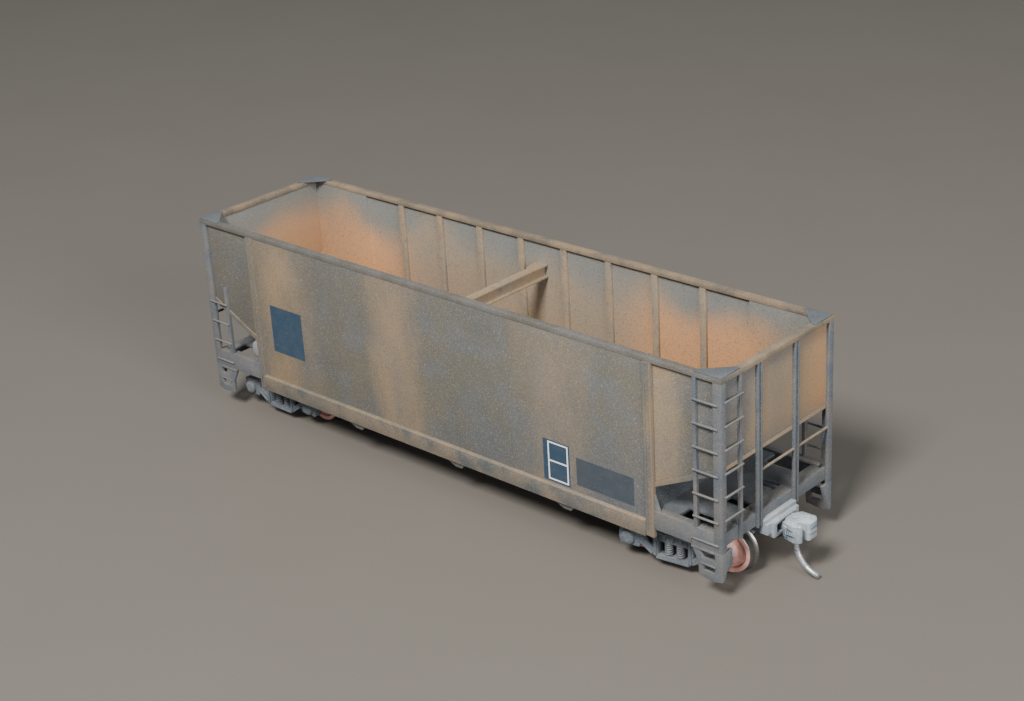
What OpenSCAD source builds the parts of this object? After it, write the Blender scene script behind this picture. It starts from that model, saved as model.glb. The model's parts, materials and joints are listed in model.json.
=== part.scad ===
// Open hopper wagon, a weathered H0 scale model.
// X runs along the wagon, Y across it, Z up. The origin is on the floor
// under the middle of the wagon. The wheels stand on their flanges.

/* [Body] */
// Length over the top rim
body_len = 151; // [135:1:180]
// Width over the top rim
body_w = 37; // [33:0.5:44]
// Height of the top of the rim above the floor
top_z = 48.2; // [44:0.2:58]
// Thickness of the flat top rim
rim_t = 1.0; // [0.8:0.1:1.4]
// Width of the flat top rim
rim_w = 1.7; // [1.5:0.1:2.4]
// Thickness of the side, end and slope sheets
sheet_t = 0.8; // [0.6:0.05:1]
// Depth of the posts, which is the step between the middle and end side sheets
post_d = 0.7; // [0.6:0.05:0.9]
// Number of post bays between the bolsters
bays = 9; // [7:2:11]
// Distance from the middle to each body bolster and truck centre
bolster_x = 58; // [50:0.5:64]
// Height of the slope sheet's top edge at the end sheet
slope_top_z = 29.2; // [27:0.2:32]
// Slope of the end slope sheets
slope_deg = 25.6; // [22:0.2:30]

/* [Sills] */
// Bottom of the main side sill
sill_z = 9.4; // [9:0.1:10.5]
// Height of the main side sill
sill_h = 3.8; // [3:0.1:4.5]
// Bottom of the narrower side sill beside the end cages
end_side_sill_z = 11.35; // [11:0.05:12]
// Height of the narrower side sill
end_side_sill_h = 4.0; // [3:0.1:5]
// Bottom of the end sill
end_sill_z = 12.1; // [11.8:0.1:13]
// Height of the end sill
end_sill_h = 2.8; // [2.2:0.1:3.4]
// Half width of the centre sill
centre_sill_y = 2.6; // [2.2:0.1:3]

/* [Hoppers] */
// Distance between neighbouring outlets, centre to centre
bay_pitch = 31; // [28:0.2:34]
// Length of an outlet along the wagon
outlet_len = 8.6; // [7:0.2:10]
// Half width of the outlets, between which their side plates slant inwards
outlet_y = 12; // [9:0.5:14]
// Bottom edge of the outlets
outlet_z = 6.0; // [5.4:0.1:7]
// Top of the ridges between the outlets
ridge_z = 15.5; // [14:0.1:18]

/* [Ladders and posts] */
// Height of the lowest ladder rung
rung_z = 12.9; // [12.4:0.1:14]
// Rise from one rung to the next
rung_pitch = 4.97; // [4:0.05:6]
// Radius of the rungs and handrails
rung_r = 0.25; // [0.2:0.05:0.35]
// Width of the end posts
end_post_w = 1.5; // [1.2:0.1:2]
// Distance from the middle to each end post
end_post_y = 6.1; // [5.5:0.1:8]

/* [Trucks] */
// Wheel diameter at the tread
wheel_d = 9.6; // [9:0.1:10.6]
// Flange height beyond the tread
flange_h = 0.65; // [0.5:0.05:0.9]
// Distance between a truck's two axles
wheelbase = 20.4; // [19:0.2:22]
// Distance between the backs of the two wheels of an axle
back_to_back = 14.4; // [14:0.1:14.6]
// Width of a wheel
wheel_w = 2.8; // [2.2:0.1:3]
// How far the truck at the +X end stands turned on its pin
truck_turn = 8; // [-10:1:10]

/* [Couplers] */
// Height of the coupler's centre line
coupler_z = 10.5; // [10.3:0.1:10.8]
// Radius of the coupler's pivot post
pivot_r = 1.0; // [0.8:0.05:1.2]
// Radial clearance of the coupler on its post and the trucks on their pins
run_fit = 0.06; // [0.03:0.01:0.1]
// Radius of the steel trip pin
trip_r = 0.6; // [0.4:0.05:0.7]

/* [Hidden] */
$fn = 48;

// Colours of the dusty grey paint, the bright couplers and the rusty wheels
paint = "#7b8088";
dusty = "#a79b87";
tan = "#b39a7c";
dust_blue = "#8d97a5";
truck_grey = "#8894a4";
rust = "#b5706a";
steel = "#b9bcc0";

// Planes shared by the body's pieces
hx = body_len / 2;
hy = body_w / 2;
rim_z = top_z - rim_t;
rim_lip = 0.1;
out_y = hy - rim_lip;
main_in_y = out_y - sheet_t;
end_out_y = out_y - post_d;
end_in_y = end_out_y - sheet_t;
end_inset = 0.7;
end_x = hx - end_inset;
end_in_x = end_x - sheet_t;
bolster_post_w = 1.9;
main_x = bolster_x - bolster_post_w / 2;
post_pitch = 2 * main_x / bays;
inside_post_w = 1.6;
leg = 1.5;
sill_out = 0.9;
floor_t = 0.7;
bowl_gap = 0.1;

// Slope sheets fall from the end sheets to the outer outlets
slope_tan = tan(slope_deg);
slope_v = sheet_t / cos(slope_deg);
function slope_z(x) = slope_top_z - slope_tan * (end_x - x);
outer_in_x = bay_pitch - outlet_len / 2;
outer_out_x = bay_pitch + outlet_len / 2;
ridge_x = bay_pitch / 2;

// Hood over the centre sill
sill_top_z = 13.5;
centre_sill_z = 9.5;
hood_t = 0.8;
hood_y = centre_sill_y + hood_t;
hood_z = 17.6;
hood_eave_z = sill_top_z + 0.6;
door_t = 0.7;

// Truck heights
axle_z = wheel_d / 2 + flange_h;
frame_in_y = 12.4;
frame_out_y = 14.4;
cap_y = 15.1;
bowl_z = 8.9;
bowl_r = 3.4;
screw_r = 0.95;
head_r = 1.8;
head_t = 0.8;
bolster_z = 4.6;
seat_z = 3.0;
spring_top_z = 6.1;
journal_r = 0.6;
axle_r = 0.85;
axle_end_y = 12.9;

// Draft box
box_y = 3.9;
box_z0 = 8.9;
box_z1 = end_sill_z;
box_x0 = 63;
box_wall = 0.6;
box_front = end_x + 2.4;
pivot_x = end_x - 5.6;
shank_t = 1.6;
shank_w = 2.2;

module both_ends() {
    children();
    rotate([0, 0, 180]) children();
}

module both_sides() {
    children();
    mirror([0, 1, 0]) children();
}

// An outline in the X-Z plane, given thickness from y0 to y1
module slab_y(points, y0, y1) {
    translate([0, y1, 0]) rotate([90, 0, 0]) linear_extrude(y1 - y0) polygon(points);
}

// An outline in the Y-Z plane, given length from x0 to x1
module slab_x(points, x0, x1) {
    translate([x0, 0, 0]) rotate([90, 0, 90]) linear_extrude(x1 - x0) polygon(points);
}

module block(low, high) {
    translate(low) cube(high - low);
}

// Top line of the hopper floor, from one end to the other
floor_half = [
    [0, outlet_z],
    [outlet_len / 2, outlet_z],
    [ridge_x, ridge_z],
    [outer_in_x, outlet_z],
    [outer_out_x, outlet_z],
    [outer_out_x, slope_z(outer_out_x)],
    [end_x, slope_top_z]
];

// Everything under the hopper floor's top surface
module under_floor(y0, y1) {
    for (s = [-1, 1])
        slab_y([for (p = floor_half) [s * p[0], p[1]],
            [s * (end_x + 1), slope_top_z], [s * (end_x + 1), 0], [0, 0]], y0, y1);
}

// ---- Top rim ----
module top_rim() {
    color(paint) difference() {
        block([-hx, -hy, rim_z], [hx, hy, top_z]);
        block([-hx + rim_w, -hy + rim_w, rim_z - 1], [hx - rim_w, hy - rim_w, top_z + 1]);
    }
}

// Flat triangular plates on the rim's corners, with a hollow long edge
gusset_leg = 6;
gusset_t = 0.25;
module corner_gussets() {
    color(dust_blue) both_ends() both_sides()
        translate([hx - 0.15, hy - 0.15, top_z]) linear_extrude(gusset_t) difference() {
            polygon([[0, 0], [-gusset_leg, 0], [-gusset_leg, -1.1], [-1.1, -gusset_leg], [0, -gusset_leg]]);
            translate([-gusset_leg - 3.6, -gusset_leg - 3.6]) circle(6.6, $fn = 96);
        }
}

// ---- Sides ----
module side_sheet() {
    color(dusty) {
        slab_y([[-main_x, sill_z], [main_x, sill_z], [main_x, rim_z], [-main_x, rim_z]],
            -out_y, -main_in_y);
        for (s = [-1, 1]) {
            slab_y([[s * main_x, slope_z(main_x)], [s * end_x, slope_top_z],
                [s * end_x, rim_z], [s * main_x, rim_z]], -end_out_y, -end_in_y);
            slab_y([[s * (main_x - sheet_t), slope_z(main_x - sheet_t)], [s * main_x, slope_z(main_x)],
                [s * main_x, rim_z], [s * (main_x - sheet_t), rim_z]], -out_y + 0.01, -end_in_y);
        }
    }
}

module side_sheet_right() side_sheet();
module side_sheet_left() mirror([0, 1, 0]) side_sheet();

module inside_posts() {
    color(tan) difference() {
        for (i = [1 : bays - 1])
            block([-main_x + i * post_pitch - inside_post_w / 2, -main_in_y, outlet_z],
                [-main_x + i * post_pitch + inside_post_w / 2, -end_in_y, rim_z]);
        under_floor(-main_in_y - 1, -end_in_y + 1);
        outside_outlets();
    }
}

module inside_posts_right() inside_posts();
module inside_posts_left() mirror([0, 1, 0]) inside_posts();

module bolster_posts() {
    color(paint) both_sides() for (s = [-1, 1])
        block([s * bolster_x - bolster_post_w / 2, -hy - 0.1, sill_z],
            [s * bolster_x + bolster_post_w / 2, -end_out_y, rim_z]);
}

// Beam laid across the load space, with a flat gusset at each end
brace_top = rim_z - 4.9;
brace_h = 3.2;
brace_w = 2.2;
brace_t = 0.5;
brace_gusset = [4.5, 1.6];
module cross_brace() {
    w = brace_w / 2;
    color(tan) {
        block([-w, -main_in_y, brace_top - brace_t], [w, main_in_y, brace_top]);
        block([-w, -main_in_y, brace_top - brace_h], [w, main_in_y, brace_top - brace_h + brace_t]);
        block([-brace_t / 2, -main_in_y, brace_top - brace_h + brace_t],
            [brace_t / 2, main_in_y, brace_top - brace_t]);
        both_ends() translate([0, 0, brace_top - brace_t]) linear_extrude(brace_t)
            polygon([[-w, main_in_y], [-w - brace_gusset[1], main_in_y],
                [-w - brace_gusset[1] + 0.4, main_in_y - 0.9], [-w - 0.3, main_in_y - brace_gusset[0]],
                [-w, main_in_y - brace_gusset[0]]]);
    }
}

// ---- Ends ----
module end_sheet() {
    color(tan) slab_y([[end_in_x, slope_z(end_in_x)], [end_x, slope_top_z],
        [end_x, rim_z], [end_in_x, rim_z]], -end_in_y, end_in_y);
}

module end_sheet_a() end_sheet();
module end_sheet_b() rotate([0, 0, 180]) end_sheet();

// Two channels with their grooves facing outwards
post_groove = 0.35;
module end_posts() {
    color(dust_blue) for (s = [-1, 1]) difference() {
        block([end_x, s * end_post_y - end_post_w / 2, end_sill_z - 0.2],
            [hx, s * end_post_y + end_post_w / 2, rim_z]);
        block([hx - post_groove, s * end_post_y - end_post_w / 2 + 0.4, 0],
            [hx + 1, s * end_post_y + end_post_w / 2 - 0.4, rim_z + 1]);
    }
}

module end_posts_a() end_posts();
module end_posts_b() rotate([0, 0, 180]) end_posts();

module corner_posts() {
    color(paint) both_ends() both_sides() translate([0, 0, end_side_sill_z])
        linear_extrude(rim_z - end_side_sill_z) polygon([
            [hx - 2, -hy], [hx, -hy], [hx, -hy + leg],
            [end_x, -hy + leg], [end_x, -end_out_y], [hx - 2, -end_out_y]]);
}

// The end sill has a flange on top that reaches inwards
deck_in = 2.2;
sill_flange = 1.2;
sill_flange_t = 0.5;
deck_y = end_out_y - sill_flange;
module end_sill() {
    color(paint) {
        block([end_in_x, -end_out_y, end_sill_z], [end_x, end_out_y, end_sill_z + end_sill_h]);
        block([end_in_x - deck_in, -deck_y, end_sill_z + end_sill_h - sill_flange_t],
            [end_in_x, deck_y, end_sill_z + end_sill_h]);
    }
}

module end_sill_a() end_sill();
module end_sill_b() rotate([0, 0, 180]) end_sill();

// ---- Sills ----
module side_sill() {
    color(dusty) slab_x([[-out_y, sill_z], [-out_y, sill_z + sill_h],
        [-out_y - sill_out, sill_z + sill_h - 0.2], [-out_y - sill_out + 0.25, sill_z]],
        -main_x, main_x);
}

module side_sill_right() side_sill();
module side_sill_left() mirror([0, 1, 0]) side_sill();

foot_w = 1.3;
foot_h = 3.6;
module end_side_sills() {
    z1 = end_side_sill_z + end_side_sill_h;
    x0 = bolster_x + bolster_post_w / 2;
    x1 = hx - 2;
    color(paint) both_ends() both_sides() {
        block([x0, -hy, end_side_sill_z], [x1, -end_out_y, z1]);
        block([x0, -end_out_y, z1 - sill_flange_t], [x1, -deck_y, z1]);
        slab_y([[x0, z1], [x0 + foot_w, z1], [x0, z1 + foot_h]], -hy + 0.2, -end_out_y);
    }
}

// ---- Slope sheets and hoppers ----
// Side plate of the hoppers: its top line falls from the side sheet to the outlets
skirt_rise = 1;
skirt_w = 1.1;
module outside_outlets() {
    both_sides() slab_x([[-main_in_y, sill_z + skirt_rise], [-outlet_y + skirt_w, outlet_z],
        [-outlet_y + skirt_w, 0], [-hy, 0], [-hy, sill_z + skirt_rise]], -outer_out_x - 1, outer_out_x + 1);
}

module slope_sheet() {
    color(tan) difference() {
        union() {
            slab_y([[main_x, slope_z(main_x)], [end_x, slope_top_z],
                [end_x, slope_top_z - slope_v], [main_x, slope_z(main_x) - slope_v]],
                -end_out_y, end_out_y);
            slab_y([[outer_out_x, slope_z(outer_out_x)], [main_x, slope_z(main_x)],
                [main_x, slope_z(main_x) - slope_v],
                [outer_out_x + sheet_t, slope_z(outer_out_x + sheet_t) - slope_v],
                [outer_out_x + sheet_t, outlet_z], [outer_out_x, outlet_z]], -main_in_y, main_in_y);
        }
        block([0, -centre_sill_y, 0], [end_x, centre_sill_y, sill_top_z]);
        outside_outlets();
    }
}

module slope_sheet_a() slope_sheet();
module slope_sheet_b() rotate([0, 0, 180]) slope_sheet();

// Everything below the slope sheets, outside the outer outlets
module under_slopes() {
    for (s = [-1, 1])
        slab_y([[s * outer_out_x, slope_z(outer_out_x)], [s * end_x, slope_top_z],
            [s * end_x, 0], [s * outer_out_x, 0]], -hy, hy);
}

hood_outline = [[-hood_y, outlet_z], [-hood_y, hood_eave_z], [0, hood_z], [hood_y, hood_eave_z],
    [hood_y, outlet_z]];

// The hood over the centre sill, cut off where it meets the slope sheets
module centre_hood() {
    color(tan) difference() {
        slab_x(hood_outline, -bolster_x, bolster_x);
        block([-hx, -centre_sill_y, 0], [hx, centre_sill_y, sill_top_z]);
        under_slopes();
    }
}

// A roof between each two outlets, split by the hood
module hopper_ridges() {
    dz = floor_t * 1.4;
    color(tan) difference() {
        for (s = [-1, 1])
            slab_y([[s * ridge_x, ridge_z], [s * outer_in_x, outlet_z], [s * (outer_in_x - floor_t), outlet_z],
                [s * ridge_x, ridge_z - dz], [s * (outlet_len / 2 + floor_t), outlet_z],
                [s * outlet_len / 2, outlet_z]], -main_in_y, main_in_y);
        slab_x(hood_outline, -hx, hx);
        outside_outlets();
    }
}

// The hoppers' slanted side plates, and the tips that show under the side sills
tip_h = 1.4;
module outlet_sides() {
    color(tan) both_ends() {
        slab_x([[-main_in_y, sill_z + skirt_rise], [-main_in_y, sill_z], [-outlet_y, outlet_z],
            [-outlet_y + skirt_w, outlet_z]], -outer_out_x, outer_out_x);
        for (x = [-bay_pitch, 0, bay_pitch])
            slab_y([[x + 0.8, sill_z], [x + 4.2, sill_z - tip_h], [x + 6, sill_z - tip_h], [x + 7.3, sill_z]],
                -out_y, -main_in_y);
    }
}

// One door under each half of each outlet
module outlet_doors() {
    color(paint) for (x = [-bay_pitch, 0, bay_pitch]) both_sides() {
        block([x - outlet_len / 2, -outlet_y, outlet_z - door_t], [x + outlet_len / 2, -hood_y, outlet_z]);
        for (y = [-outlet_y + 1.5, -hood_y - 2.3])
            block([x - 0.4, y, outlet_z - door_t - 0.6], [x + 0.4, y + 0.8, outlet_z - door_t]);
    }
}

// ---- Underframe ----
module centre_sill() {
    color(paint) difference() {
        union() {
            block([-box_x0, -centre_sill_y, centre_sill_z], [box_x0, centre_sill_y, sill_top_z]);
            for (s = [-1, 1]) translate([s * bolster_x, 0, bowl_z + bowl_gap])
                cylinder(h = centre_sill_z - bowl_z - bowl_gap, r = bowl_r);
        }
        for (s = [-1, 1]) {
            translate([s * bolster_x, 0, 0]) cylinder(h = 12.5, r = screw_r + 0.02);
            block([s * bolster_x / 2 - bolster_x / 2 + 4, -centre_sill_y + 0.7, centre_sill_z - 1],
                [s * bolster_x / 2 + bolster_x / 2 - 4, centre_sill_y - 0.7, sill_top_z - 0.7]);
        }
    }
}

// Cross girder, the diaphragm above it and the deck plate beside it
girder_w = 4.4;
girder_z1 = 14.2;
deck_t = 0.6;
deck_side_x = bolster_x + 5;
deck_mid_y = 12.1;
deck_slot = [5, 2.4];
module body_bolster() {
    deck_end_x = end_in_x - deck_in;
    color(paint) difference() {
        union() {
            block([bolster_x - girder_w / 2, -main_in_y, end_side_sill_z],
                [bolster_x + girder_w / 2, main_in_y, girder_z1]);
            slab_y([[bolster_x - 0.4, girder_z1], [bolster_x + 0.4, girder_z1],
                [bolster_x + 0.4, slope_z(bolster_x + 0.4) - slope_v - 0.02],
                [bolster_x - 0.4, slope_z(bolster_x - 0.4) - slope_v - 0.02]], -end_out_y, end_out_y);
            translate([0, 0, girder_z1]) linear_extrude(deck_t) difference() {
                polygon([[bolster_x + 0.4, -deck_y + 0.1], [deck_side_x, -deck_y + 0.1],
                    [deck_side_x, -deck_mid_y], [deck_end_x, -deck_mid_y],
                    [deck_end_x, deck_mid_y], [deck_side_x, deck_mid_y],
                    [deck_side_x, deck_y - 0.1], [bolster_x + 0.4, deck_y - 0.1]]);
                for (s = [-1, 1]) translate([pivot_x, s * (box_y + 1)])
                    square(deck_slot, center = true);
            }
        }
        block([0, -centre_sill_y, 0], [hx, centre_sill_y, sill_top_z]);
    }
}

module body_bolster_a() body_bolster();
module body_bolster_b() rotate([0, 0, 180]) body_bolster();

// Coupler pocket with the striker plate on its front
striker_y = 5.3;
module draft_box() {
    color(dust_blue) {
        difference() {
            union() {
                block([box_x0, -box_y, box_z0], [box_front, box_y, box_z1]);
                block([end_x, -striker_y, box_z0 + 1], [box_front - 0.6, striker_y, box_z1]);
                block([end_x, -striker_y, box_z1], [end_x + 1.2, striker_y, box_z1 + 0.9]);
            }
            block([pivot_x - 3, -box_y + 1, box_z0 + box_wall],
                [box_front + 1, box_y - 1, box_z1 - box_wall]);
        }
        translate([pivot_x, 0, box_z0]) cylinder(h = box_z1 - box_z0, r = pivot_r);
    }
}

module draft_box_a() draft_box();
module draft_box_b() rotate([0, 0, 180]) draft_box();

// ---- Couplers ----
head_x = box_front + 0.7;
head_h = 3.6;
head_up = 0.3;
module coupler() {
    z0 = coupler_z - shank_t / 2;
    color(dust_blue) difference() {
        union() {
            translate([pivot_x, 0, z0]) cylinder(h = shank_t, r = pivot_r + 1.1);
            block([pivot_x, -shank_w / 2, z0], [head_x + 0.5, shank_w / 2, z0 + shank_t]);
            // guard arm and head
            translate([0, 0, coupler_z + head_up - head_h / 2]) linear_extrude(head_h) polygon([
                [head_x, -1.1], [head_x + 1, -3.0], [head_x + 3.4, -3.5], [head_x + 4.7, -2.9],
                [head_x + 4.8, -2.3], [head_x + 3.2, -1.8], [head_x + 3.1, -1.1], [head_x + 4.3, -0.9],
                [head_x + 5, -1.0], [head_x + 5.4, -0.6], [head_x + 5.4, 1.8],
                [head_x + 4.4, 3.0], [head_x + 1.2, 2.9], [head_x, 1.1]]);
        }
        translate([pivot_x, 0, z0 - 1]) cylinder(h = shank_t + 2, r = pivot_r + run_fit);
    }
}

module coupler_a() coupler();
module coupler_b() rotate([0, 0, 180]) coupler();

// Curved steel wire under the head
trip_bend = 6.1;
trip_y = 0.5;
module trip_pin() {
    z_top = coupler_z + head_up - head_h / 2;
    x0 = head_x + 1.3;
    z_arc = trip_r + 0.35 + trip_bend;
    color(steel) {
        translate([x0, trip_y, z_arc - 0.01]) cylinder(h = z_top - z_arc + 0.01, r = trip_r);
        translate([x0 + trip_bend, trip_y, z_arc]) rotate([90, 0, 0])
            rotate([0, 0, 180]) rotate_extrude(angle = 84) translate([trip_bend, 0]) circle(trip_r, $fn = 24);
    }
}

module trip_pin_a() trip_pin();
module trip_pin_b() rotate([0, 0, 180]) trip_pin();

// ---- Ladders, rails and steps ----
stile_w = 0.8;
stile_x = hx - 6.8;
stile_y = end_post_y + 5.7;
rung_out = 0.14;

// A rung along X on the face y = -hy, with a flat back
module side_rung(x0, x1, z) {
    difference() {
        translate([x0, -hy - rung_out, z]) rotate([0, 90, 0]) cylinder(h = x1 - x0, r = rung_r, $fn = 24);
        block([x0 - 1, -hy, z - 1], [x1 + 1, -hy + 1, z + 1]);
    }
}

// A rung along Y on the face x = hx, with a flat back
module end_rung(y0, y1, z) {
    difference() {
        translate([hx + rung_out, y0, z]) rotate([-90, 0, 0]) cylinder(h = y1 - y0, r = rung_r, $fn = 24);
        block([hx - 1, y0 - 1, z - 1], [hx, y1 + 1, z + 1]);
    }
}

module side_ladders() {
    z1 = end_side_sill_z + end_side_sill_h;
    color(dusty) both_ends() {
        block([stile_x, -hy, z1], [stile_x + stile_w, -end_out_y, rim_z]);
        for (i = [0 : 6]) if (rung_z + i * rung_pitch < rim_z - 1)
            side_rung(stile_x, hx - 0.8, rung_z + i * rung_pitch);
    }
}

short_rungs = 4;
module short_ladders() {
    z1 = end_side_sill_z + end_side_sill_h;
    color(dusty) both_ends() scale([-1, 1, 1]) {
        block([stile_x, -hy, z1], [stile_x + stile_w, -end_out_y, rung_z + short_rungs * rung_pitch - 0.6]);
        for (i = [0 : short_rungs - 1]) side_rung(stile_x, hx - 0.8, rung_z + i * rung_pitch);
    }
}

module end_ladders() {
    color(dusty) both_ends() {
        block([end_x, -stile_y - stile_w, end_sill_z], [hx, -stile_y, rim_z]);
        for (i = [1 : 6]) if (rung_z + i * rung_pitch < rim_z - 1)
            end_rung(-hy + 0.8, -stile_y, rung_z + 0.5 + i * rung_pitch);
    }
}

rail_z = 24.1;
module handrails() {
    y_post = end_post_y + end_post_w / 2;
    color(dusty) both_ends() {
        translate([end_x + 0.35, -end_post_y + end_post_w / 2, rail_z]) rotate([-90, 0, 0])
            cylinder(h = 2 * end_post_y - end_post_w, r = 0.3, $fn = 24);
        translate([end_x + 0.35, y_post, rail_z]) rotate([-90, 0, 0])
            cylinder(h = hy - leg - y_post, r = 0.3, $fn = 24);
    }
}

// Hanging step at each corner, with two openings to put a foot in
step_t = 0.7;
step_z = 4.8;
module corner_steps() {
    z1 = end_side_sill_z;
    x1 = hx;
    color(paint) both_ends() both_sides() {
        difference() {
            slab_y([[x1 - 7.6, z1], [x1 - 5.9, z1 - 3.2], [x1 - 5.7, step_z + 0.2], [x1 - 2, step_z - 0.2],
                [x1, step_z + 0.3], [x1, z1]], -hy, -hy + step_t);
            slab_y([[x1 - 5.6, z1 - 0.8], [x1 - 1.8, z1 - 0.8], [x1 - 1.8, z1 - 2.1], [x1 - 4.8, z1 - 2.2]],
                -hy - 1, -hy + 1);
            slab_y([[x1 - 4.6, z1 - 3.6], [x1 - 1.8, z1 - 3.6], [x1 - 1.8, z1 - 4.9], [x1 - 4.6, z1 - 4.9]],
                -hy - 1, -hy + 1);
        }
        slab_x([[-hy, z1], [-hy, step_z + 0.3], [-hy + step_t, step_z + 0.3], [-hy + 3.3, z1]],
            x1 - step_t, x1);
    }
}

// ---- Brake gear at the -X end ----
tank_r = 2.4;
tank_len = 11.4;
tank_z = girder_z1 + deck_t + tank_r;
module air_reservoir() {
    color(truck_grey) translate([-bolster_x - 4.2, -end_out_y + 1.4, tank_z]) rotate([-90, 0, 0])
        rotate_extrude() polygon([[0, 0], [tank_r - 0.9, 0], [tank_r - 0.2, 0.4], [tank_r, 1],
            [tank_r, tank_len - 1], [tank_r - 0.2, tank_len - 0.4], [tank_r - 0.9, tank_len], [0, tank_len]]);
}

cyl_z = end_sill_z + end_sill_h + 2.1;
module brake_cylinder() {
    color(truck_grey) translate([-end_in_x + 1.6, 4.5, cyl_z]) rotate([-90, 0, 0])
        rotate_extrude() polygon([[0, 0], [1.2, 0], [2.1, 0.8], [2.1, 5.4], [1.7, 6.2], [0.5, 6.2], [0.5, 8], [0, 8]]);
}

module control_valve() {
    color(truck_grey) {
        block([-end_in_x + 0.2, -8.6, end_sill_z + end_sill_h], [-end_in_x + 3, -4.6, end_sill_z + end_sill_h + 2.8]);
        translate([-end_in_x + 1.6, -6.6, end_sill_z + end_sill_h + 2.8]) cylinder(h = 1, r = 1.2);
    }
}

// Upright hand brake wheel on its gear case
wheel_hub_z = 33.5;
brake_wheel_r = 3.1;
module brake_wheel() {
    color(paint) {
        block([-end_x - 1.5, -1.6, wheel_hub_z - 2.4], [-end_x, 1.6, wheel_hub_z + 2]);
        translate([-end_x - 1.5, 0, wheel_hub_z]) rotate([0, -90, 0]) {
            cylinder(h = 1.5, r = 0.5);
            translate([0, 0, 1.1]) {
                difference() {
                    cylinder(h = 0.5, r = brake_wheel_r);
                    translate([0, 0, -1]) cylinder(h = 3, r = brake_wheel_r - 0.5);
                }
                for (a = [0 : 60 : 300]) rotate([0, 0, a])
                    translate([0, -0.2, 0]) cube([brake_wheel_r - 0.2, 0.4, 0.4]);
            }
        }
    }
}

// ---- Trucks ----
half_base = wheelbase / 2;

// Puts a truck's pieces, made about the origin, at each end
module at_a() translate([bolster_x, 0, 0]) rotate([0, 0, truck_turn]) children();
module at_b() translate([-bolster_x, 0, 0]) rotate([0, 0, 180]) children();

// One half of a side frame's outline, from its middle to its end
frame_half = [
    [0, 2.2], [3.6, 2.2], [4.6, 2.8], [half_base - 2.9, 4.6], [half_base - 2.4, 3.6],
    [half_base + 1.9, 3.6], [half_base + 2.3, 5.0], [half_base + 2.0, 7.3],
    [half_base - 1.9, 7.7], [5.6, 9.1], [0, 9.3]
];

module side_frame() {
    difference() {
        for (s = [-1, 1]) slab_y([for (p = frame_half) [s * p[0], p[1]]], -frame_out_y, -frame_in_y);
        // bolster and spring opening
        block([-3.5, -frame_out_y - 1, seat_z], [3.5, -frame_in_y + 1, 7.9]);
        // openings beside the columns
        for (s = [-1, 1]) slab_y([[s * 4.6, 7.6], [s * 4.6, 4.2], [s * (half_base - 3.2), 5.8], [s * (half_base - 3.2), 6.9]],
            -frame_out_y - 1, -frame_in_y + 1);
        for (s = [-1, 1]) translate([s * half_base, -frame_in_y - 0.6, axle_z]) rotate([-90, 0, 0])
            cylinder(h = 2, r = journal_r + run_fit);
    }
    for (s = [-1, 1]) translate([s * half_base, -frame_out_y, axle_z]) rotate([90, 0, 0])
        cylinder(h = cap_y - frame_out_y, r = 1.5);
}

module truck_frame() {
    color(truck_grey) both_sides() side_frame();
}

module truck_bolster() {
    color(truck_grey) difference() {
        union() {
            block([-2.1, -frame_in_y, bolster_z], [2.1, frame_in_y, 8.3]);
            block([-3.3, -frame_out_y + 0.2, spring_top_z], [3.3, frame_out_y - 0.2, 7.7]);
            cylinder(h = bowl_z, r = bowl_r);
        }
        block([-6, -6, 0], [6, 6, bolster_z]);
        translate([0, 0, -1]) cylinder(h = 12, r = screw_r + 0.1);
    }
}

spring_r = 0.95;
wire_r = 0.22;
module truck_springs() {
    n = 6;
    h = spring_top_z - seat_z;
    color(truck_grey) both_sides() for (x = [-1.35, 1.35]) translate([x, -frame_out_y + spring_r + 0.03, seat_z])
        rotate_extrude($fn = 32) polygon([[0, 0], for (i = [0 : n - 1], k = [0, 1, 2, 3])
            [spring_r - [wire_r, 0, 0, wire_r][k], (i + [0.1, 0.3, 0.7, 0.9][k]) * h / n], [0, h]]);
}

module truck_frame_a() at_a() truck_frame();
module truck_frame_b() at_b() truck_frame();
module truck_bolster_a() at_a() truck_bolster();
module truck_bolster_b() at_b() truck_bolster();
module truck_springs_a() at_a() truck_springs();
module truck_springs_b() at_b() truck_springs();

module truck_screw() {
    color(steel) difference() {
        union() {
            translate([0, 0, bolster_z - 0.1 - head_t]) cylinder(h = head_t, r = head_r);
            translate([0, 0, bolster_z - 0.1]) cylinder(h = 12.5 - bolster_z + 0.1, r = screw_r);
        }
        block([-head_r, -0.2, 0], [head_r, 0.2, bolster_z - head_t + 0.25]);
    }
}

module truck_screw_a() translate([bolster_x, 0, 0]) truck_screw();
module truck_screw_b() translate([-bolster_x, 0, 0]) truck_screw();

// Axle and its two wheels, turned about Y. Radius and distance from the middle
wheel_back = back_to_back / 2;
wheel_face = wheel_back + wheel_w;
tread_r = wheel_d / 2;
wheel_profile = [
    [0, axle_end_y], [0.15, axle_end_y], [journal_r, axle_end_y - 0.7], [journal_r, wheel_face + 0.6],
    [axle_r + 0.3, wheel_face + 0.5], [axle_r + 0.5, wheel_face - 0.1],
    [axle_r + 1, wheel_face - 0.5], [tread_r - 1.3, wheel_face - 0.6],
    [tread_r - 0.9, wheel_face], [tread_r - 0.15, wheel_face], [tread_r, wheel_face - 0.15],
    [tread_r + 0.1, wheel_back + 0.9], [tread_r + flange_h * 0.6, wheel_back + 0.7],
    [tread_r + flange_h, wheel_back + 0.4], [tread_r + flange_h * 0.9, wheel_back + 0.1],
    [tread_r + flange_h * 0.5, wheel_back], [axle_r + 1, wheel_back + 0.3],
    [axle_r + 0.5, wheel_back - 0.2], [axle_r, wheel_back - 0.4]
];
module wheelset() {
    n = len(wheel_profile) - 1;
    color(rust) rotate([-90, 0, 0]) rotate_extrude($fn = 96) polygon(concat(
        [for (p = wheel_profile) [p[0], -p[1]]],
        [for (i = [n : -1 : 0]) wheel_profile[i]]));
}

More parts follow.
